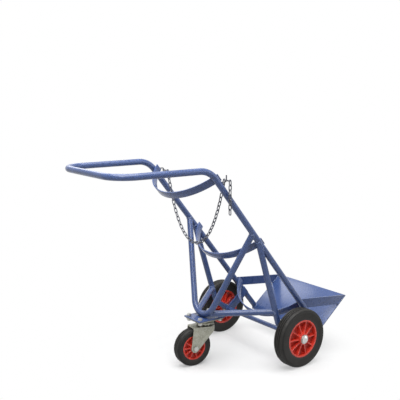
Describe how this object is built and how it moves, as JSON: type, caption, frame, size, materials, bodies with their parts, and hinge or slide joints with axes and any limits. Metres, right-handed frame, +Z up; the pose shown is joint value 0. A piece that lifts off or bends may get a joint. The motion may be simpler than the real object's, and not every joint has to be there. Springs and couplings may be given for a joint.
{
  "type": "gas cylinder trolley",
  "caption": "Leaning tube-frame hand trolley with curved cradle bands, toe plate, handle loop, load chain, ribbed rubber-tyred wheels and a rear swivel castor.",
  "frame": {"origin": "on the floor under the middle of the trolley's length and width, as it stands on its two main wheels and its rear castor", "axes": "+X forwards from the handle to the toe plate, +Y to the left of someone pushing it, +Z up"},
  "size_m": [1.1814, 0.6216, 0.8677],
  "materials": {
    "blue_paint": "semi-gloss enamel",
    "bright_steel": "zinc plated",
    "bright_cap": "bright",
    "zinc_plate": "dull zinc plated",
    "chain_zinc": "dull zinc plated",
    "black_rubber": "matt",
    "red_plastic": "satin gloss",
    "bush_plastic": "matt"
  },
  "bodies": {
    "frame": {"main_frame_tube": "blue_paint", "castor_yoke_tube": "blue_paint", "left_strut": "blue_paint", "right_strut": "blue_paint", "left_base_stay": "blue_paint", "right_base_stay": "blue_paint", "upper_cradle_band": "blue_paint", "middle_cradle_band": "blue_paint", "lower_cradle_band": "blue_paint", "toe_plate": "blue_paint", "left_toe_guard": "blue_paint", "right_toe_guard": "blue_paint", "left_axle_lug": "blue_paint", "right_axle_lug": "blue_paint", "castor_mount_plate": "blue_paint", "axle": "blue_paint", "left_axle_spacer": "bright_steel", "right_axle_spacer": "bright_steel", "left_axle_washer": "bright_steel", "right_axle_washer": "bright_steel", "left_wheel_cap": "bright_cap", "right_wheel_cap": "bright_cap", "castor_plate_bolts": "bright_steel", "castor_plate_nuts": "bright_steel", "castor_plate_washers": "bright_steel", "castor_top_plate": "zinc_plate", "castor_race": "zinc_plate", "castor_king_pin": "zinc_plate", "chain_hook": "chain_zinc", "chain_anchor_staple": "chain_zinc", "chain_end_links": "chain_zinc"},
    "right_wheel": {"right_tyre": "black_rubber", "right_wheel_centre": "red_plastic", "right_bearing_rollers": "bright_steel", "right_inner_bearing_ring": "bright_steel", "right_outer_bearing_ring": "bright_steel"},
    "left_wheel": {"left_tyre": "black_rubber", "left_wheel_centre": "red_plastic", "left_bearing_rollers": "bright_steel", "left_inner_bearing_ring": "bright_steel", "left_outer_bearing_ring": "bright_steel"},
    "castor_fork": {"castor_fork": "zinc_plate", "castor_balls": "bright_steel", "castor_axle_sleeve": "bright_steel", "castor_wheel_bolt": "bright_steel", "castor_wheel_nut": "bright_steel"},
    "castor_wheel": {"castor_tyre": "black_rubber", "castor_wheel_centre": "red_plastic", "castor_bush": "bush_plastic"},
    "chain_span": {"chain_span_links": "chain_zinc"},
    "chain_tail": {"chain_tail_links": "chain_zinc"}
  },
  "joints": [
    {"name": "right_wheel_spin", "type": "hinge", "parent": "frame", "child": "right_wheel", "pos_m": [0.25677, -0.2675, 0.125], "axis": [0, 1, 0], "continuous": true},
    {"name": "left_wheel_spin", "type": "hinge", "parent": "frame", "child": "left_wheel", "pos_m": [0.25677, 0.2675, 0.125], "axis": [0, 1, 0], "continuous": true},
    {"name": "castor_swivel", "type": "hinge", "parent": "frame", "child": "castor_fork", "pos_m": [-0.04023, 0, 0.169], "axis": [0, 0, 1], "continuous": true},
    {"name": "castor_wheel_spin", "type": "hinge", "parent": "castor_fork", "child": "castor_wheel", "pos_m": [-0.09978, 0.00731, 0.08], "axis": [0.1219, 0.9925, 0], "continuous": true},
    {"name": "chain_swing", "type": "hinge", "parent": "frame", "child": "chain_span", "pos_m": [-0.09905, 0, 0.81666], "axis": [0, 1, 0], "range_deg": [-12, 12]},
    {"name": "chain_tail_swing", "type": "hinge", "parent": "frame", "child": "chain_tail", "pos_m": [-0.09905, -0.241, 0.81666], "axis": [0, 1, 0], "range_deg": [-12, 12]}
  ]
}
